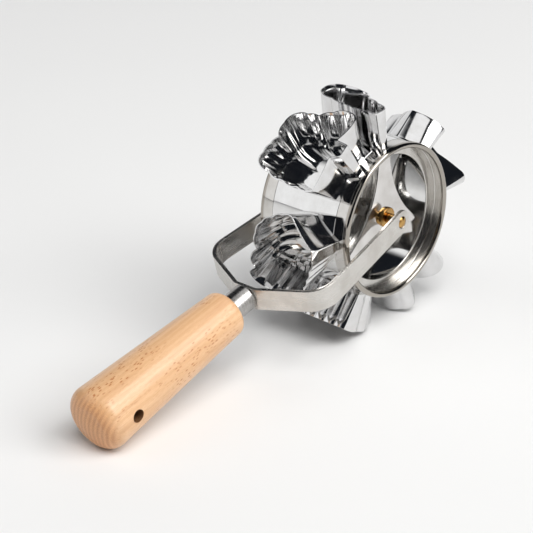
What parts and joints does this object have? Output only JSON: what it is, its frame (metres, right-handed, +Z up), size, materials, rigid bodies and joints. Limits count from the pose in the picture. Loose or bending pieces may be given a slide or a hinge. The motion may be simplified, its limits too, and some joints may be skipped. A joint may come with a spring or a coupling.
{
  "type": "rolling cookie cutter",
  "caption": "Hand-held rolling cookie cutter: a closed steel drum with hollow leaf-shaped cutters turns on pins in a bent strap fork fixed to a turned wooden handle.",
  "frame": {"origin": "middle of the footprint on the table, under the middle of the tool's overall length", "axes": "+X from the handle toward the drum, +Y along the axle to the left, +Z up from the table"},
  "size_m": [0.2592, 0.0784, 0.126],
  "materials": {
    "beech": "sanded and lightly oiled",
    "ferrule_steel": "satin",
    "fork_steel": "satin",
    "spider_steel": "satin",
    "ring_steel": "brushed",
    "shell_steel": "polished",
    "cutter_steel": "bright rolled",
    "brass": "turned"
  },
  "bodies": {
    "handle_and_fork": {"handle": "beech", "ferrule": "ferrule_steel", "tang_stud": "fork_steel", "fork": "fork_steel", "left_pin": "brass", "right_pin": "brass"},
    "drum": {"left_bush": "brass", "right_bush": "brass", "left_bush_nut": "brass", "right_bush_nut": "brass", "left_spider": "spider_steel", "right_spider": "spider_steel", "left_ring": "ring_steel", "right_ring": "ring_steel", "drum_shell": "shell_steel", "elm_leaf_cutter": "cutter_steel", "oak_leaf_cutter": "cutter_steel", "maple_leaf_cutter": "cutter_steel", "ginkgo_leaf_cutter": "cutter_steel", "birch_leaf_cutter": "cutter_steel", "linden_leaf_cutter": "cutter_steel"}
  },
  "joints": [
    {"name": "drum_spin", "type": "hinge", "parent": "handle_and_fork", "child": "drum", "pos_m": [0.0666, 0, 0.063], "axis": [0, 1, 0], "continuous": true}
  ]
}
